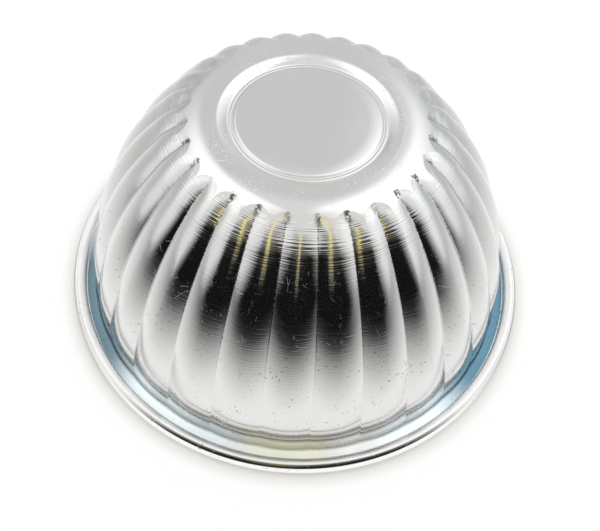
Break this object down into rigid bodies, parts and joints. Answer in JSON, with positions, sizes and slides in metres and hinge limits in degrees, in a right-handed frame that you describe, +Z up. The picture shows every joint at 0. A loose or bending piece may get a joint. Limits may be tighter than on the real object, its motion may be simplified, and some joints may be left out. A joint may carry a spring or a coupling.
{
  "type": "jelly mould",
  "caption": "Small round fluted mould of bright aluminium sheet with a wired edge, for setting jellies, puddings and small cakes; it stands mouth down here.",
  "frame": {"origin": "centre of the mouth, on the surface that the rolled rim stands on", "axes": "+Z up, from the mouth to the base, along the axis of the mould"},
  "size_m": [0.09, 0.09, 0.0415],
  "materials": {
    "aluminium": "polished on the lathe, with fine turning rings and light handling scratches",
    "steel_wire": "plain drawn wire, hidden in the rolled edge"
  },
  "bodies": {
    "root": {"mould_shell": "aluminium", "rim_wire": "steel_wire"}
  },
  "joints": []
}
